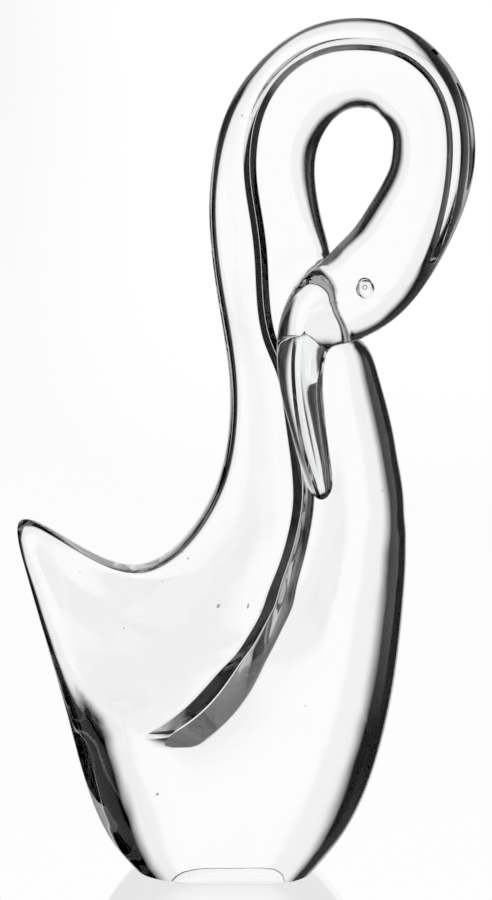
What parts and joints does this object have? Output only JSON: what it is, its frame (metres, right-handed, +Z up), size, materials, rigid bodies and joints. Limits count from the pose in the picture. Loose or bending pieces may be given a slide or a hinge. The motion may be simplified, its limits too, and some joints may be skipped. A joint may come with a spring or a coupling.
{
  "type": "glass swan figurine",
  "caption": "Tall clear glass swan ornament worked from one piece, with a raised tail, a furrowed body, a looped neck and a hanging bill, standing on a flat oval foot.",
  "frame": {"origin": "middle of the flat foot's underside, where the figurine stands", "axes": "+Z up the height, +X from the tail towards the breast, -Y towards the face that the head hangs on"},
  "size_m": [0.1805, 0.0732, 0.3401],
  "materials": {
    "clear_glass": "polished"
  },
  "bodies": {
    "root": {"swan": "clear_glass"}
  },
  "joints": []
}
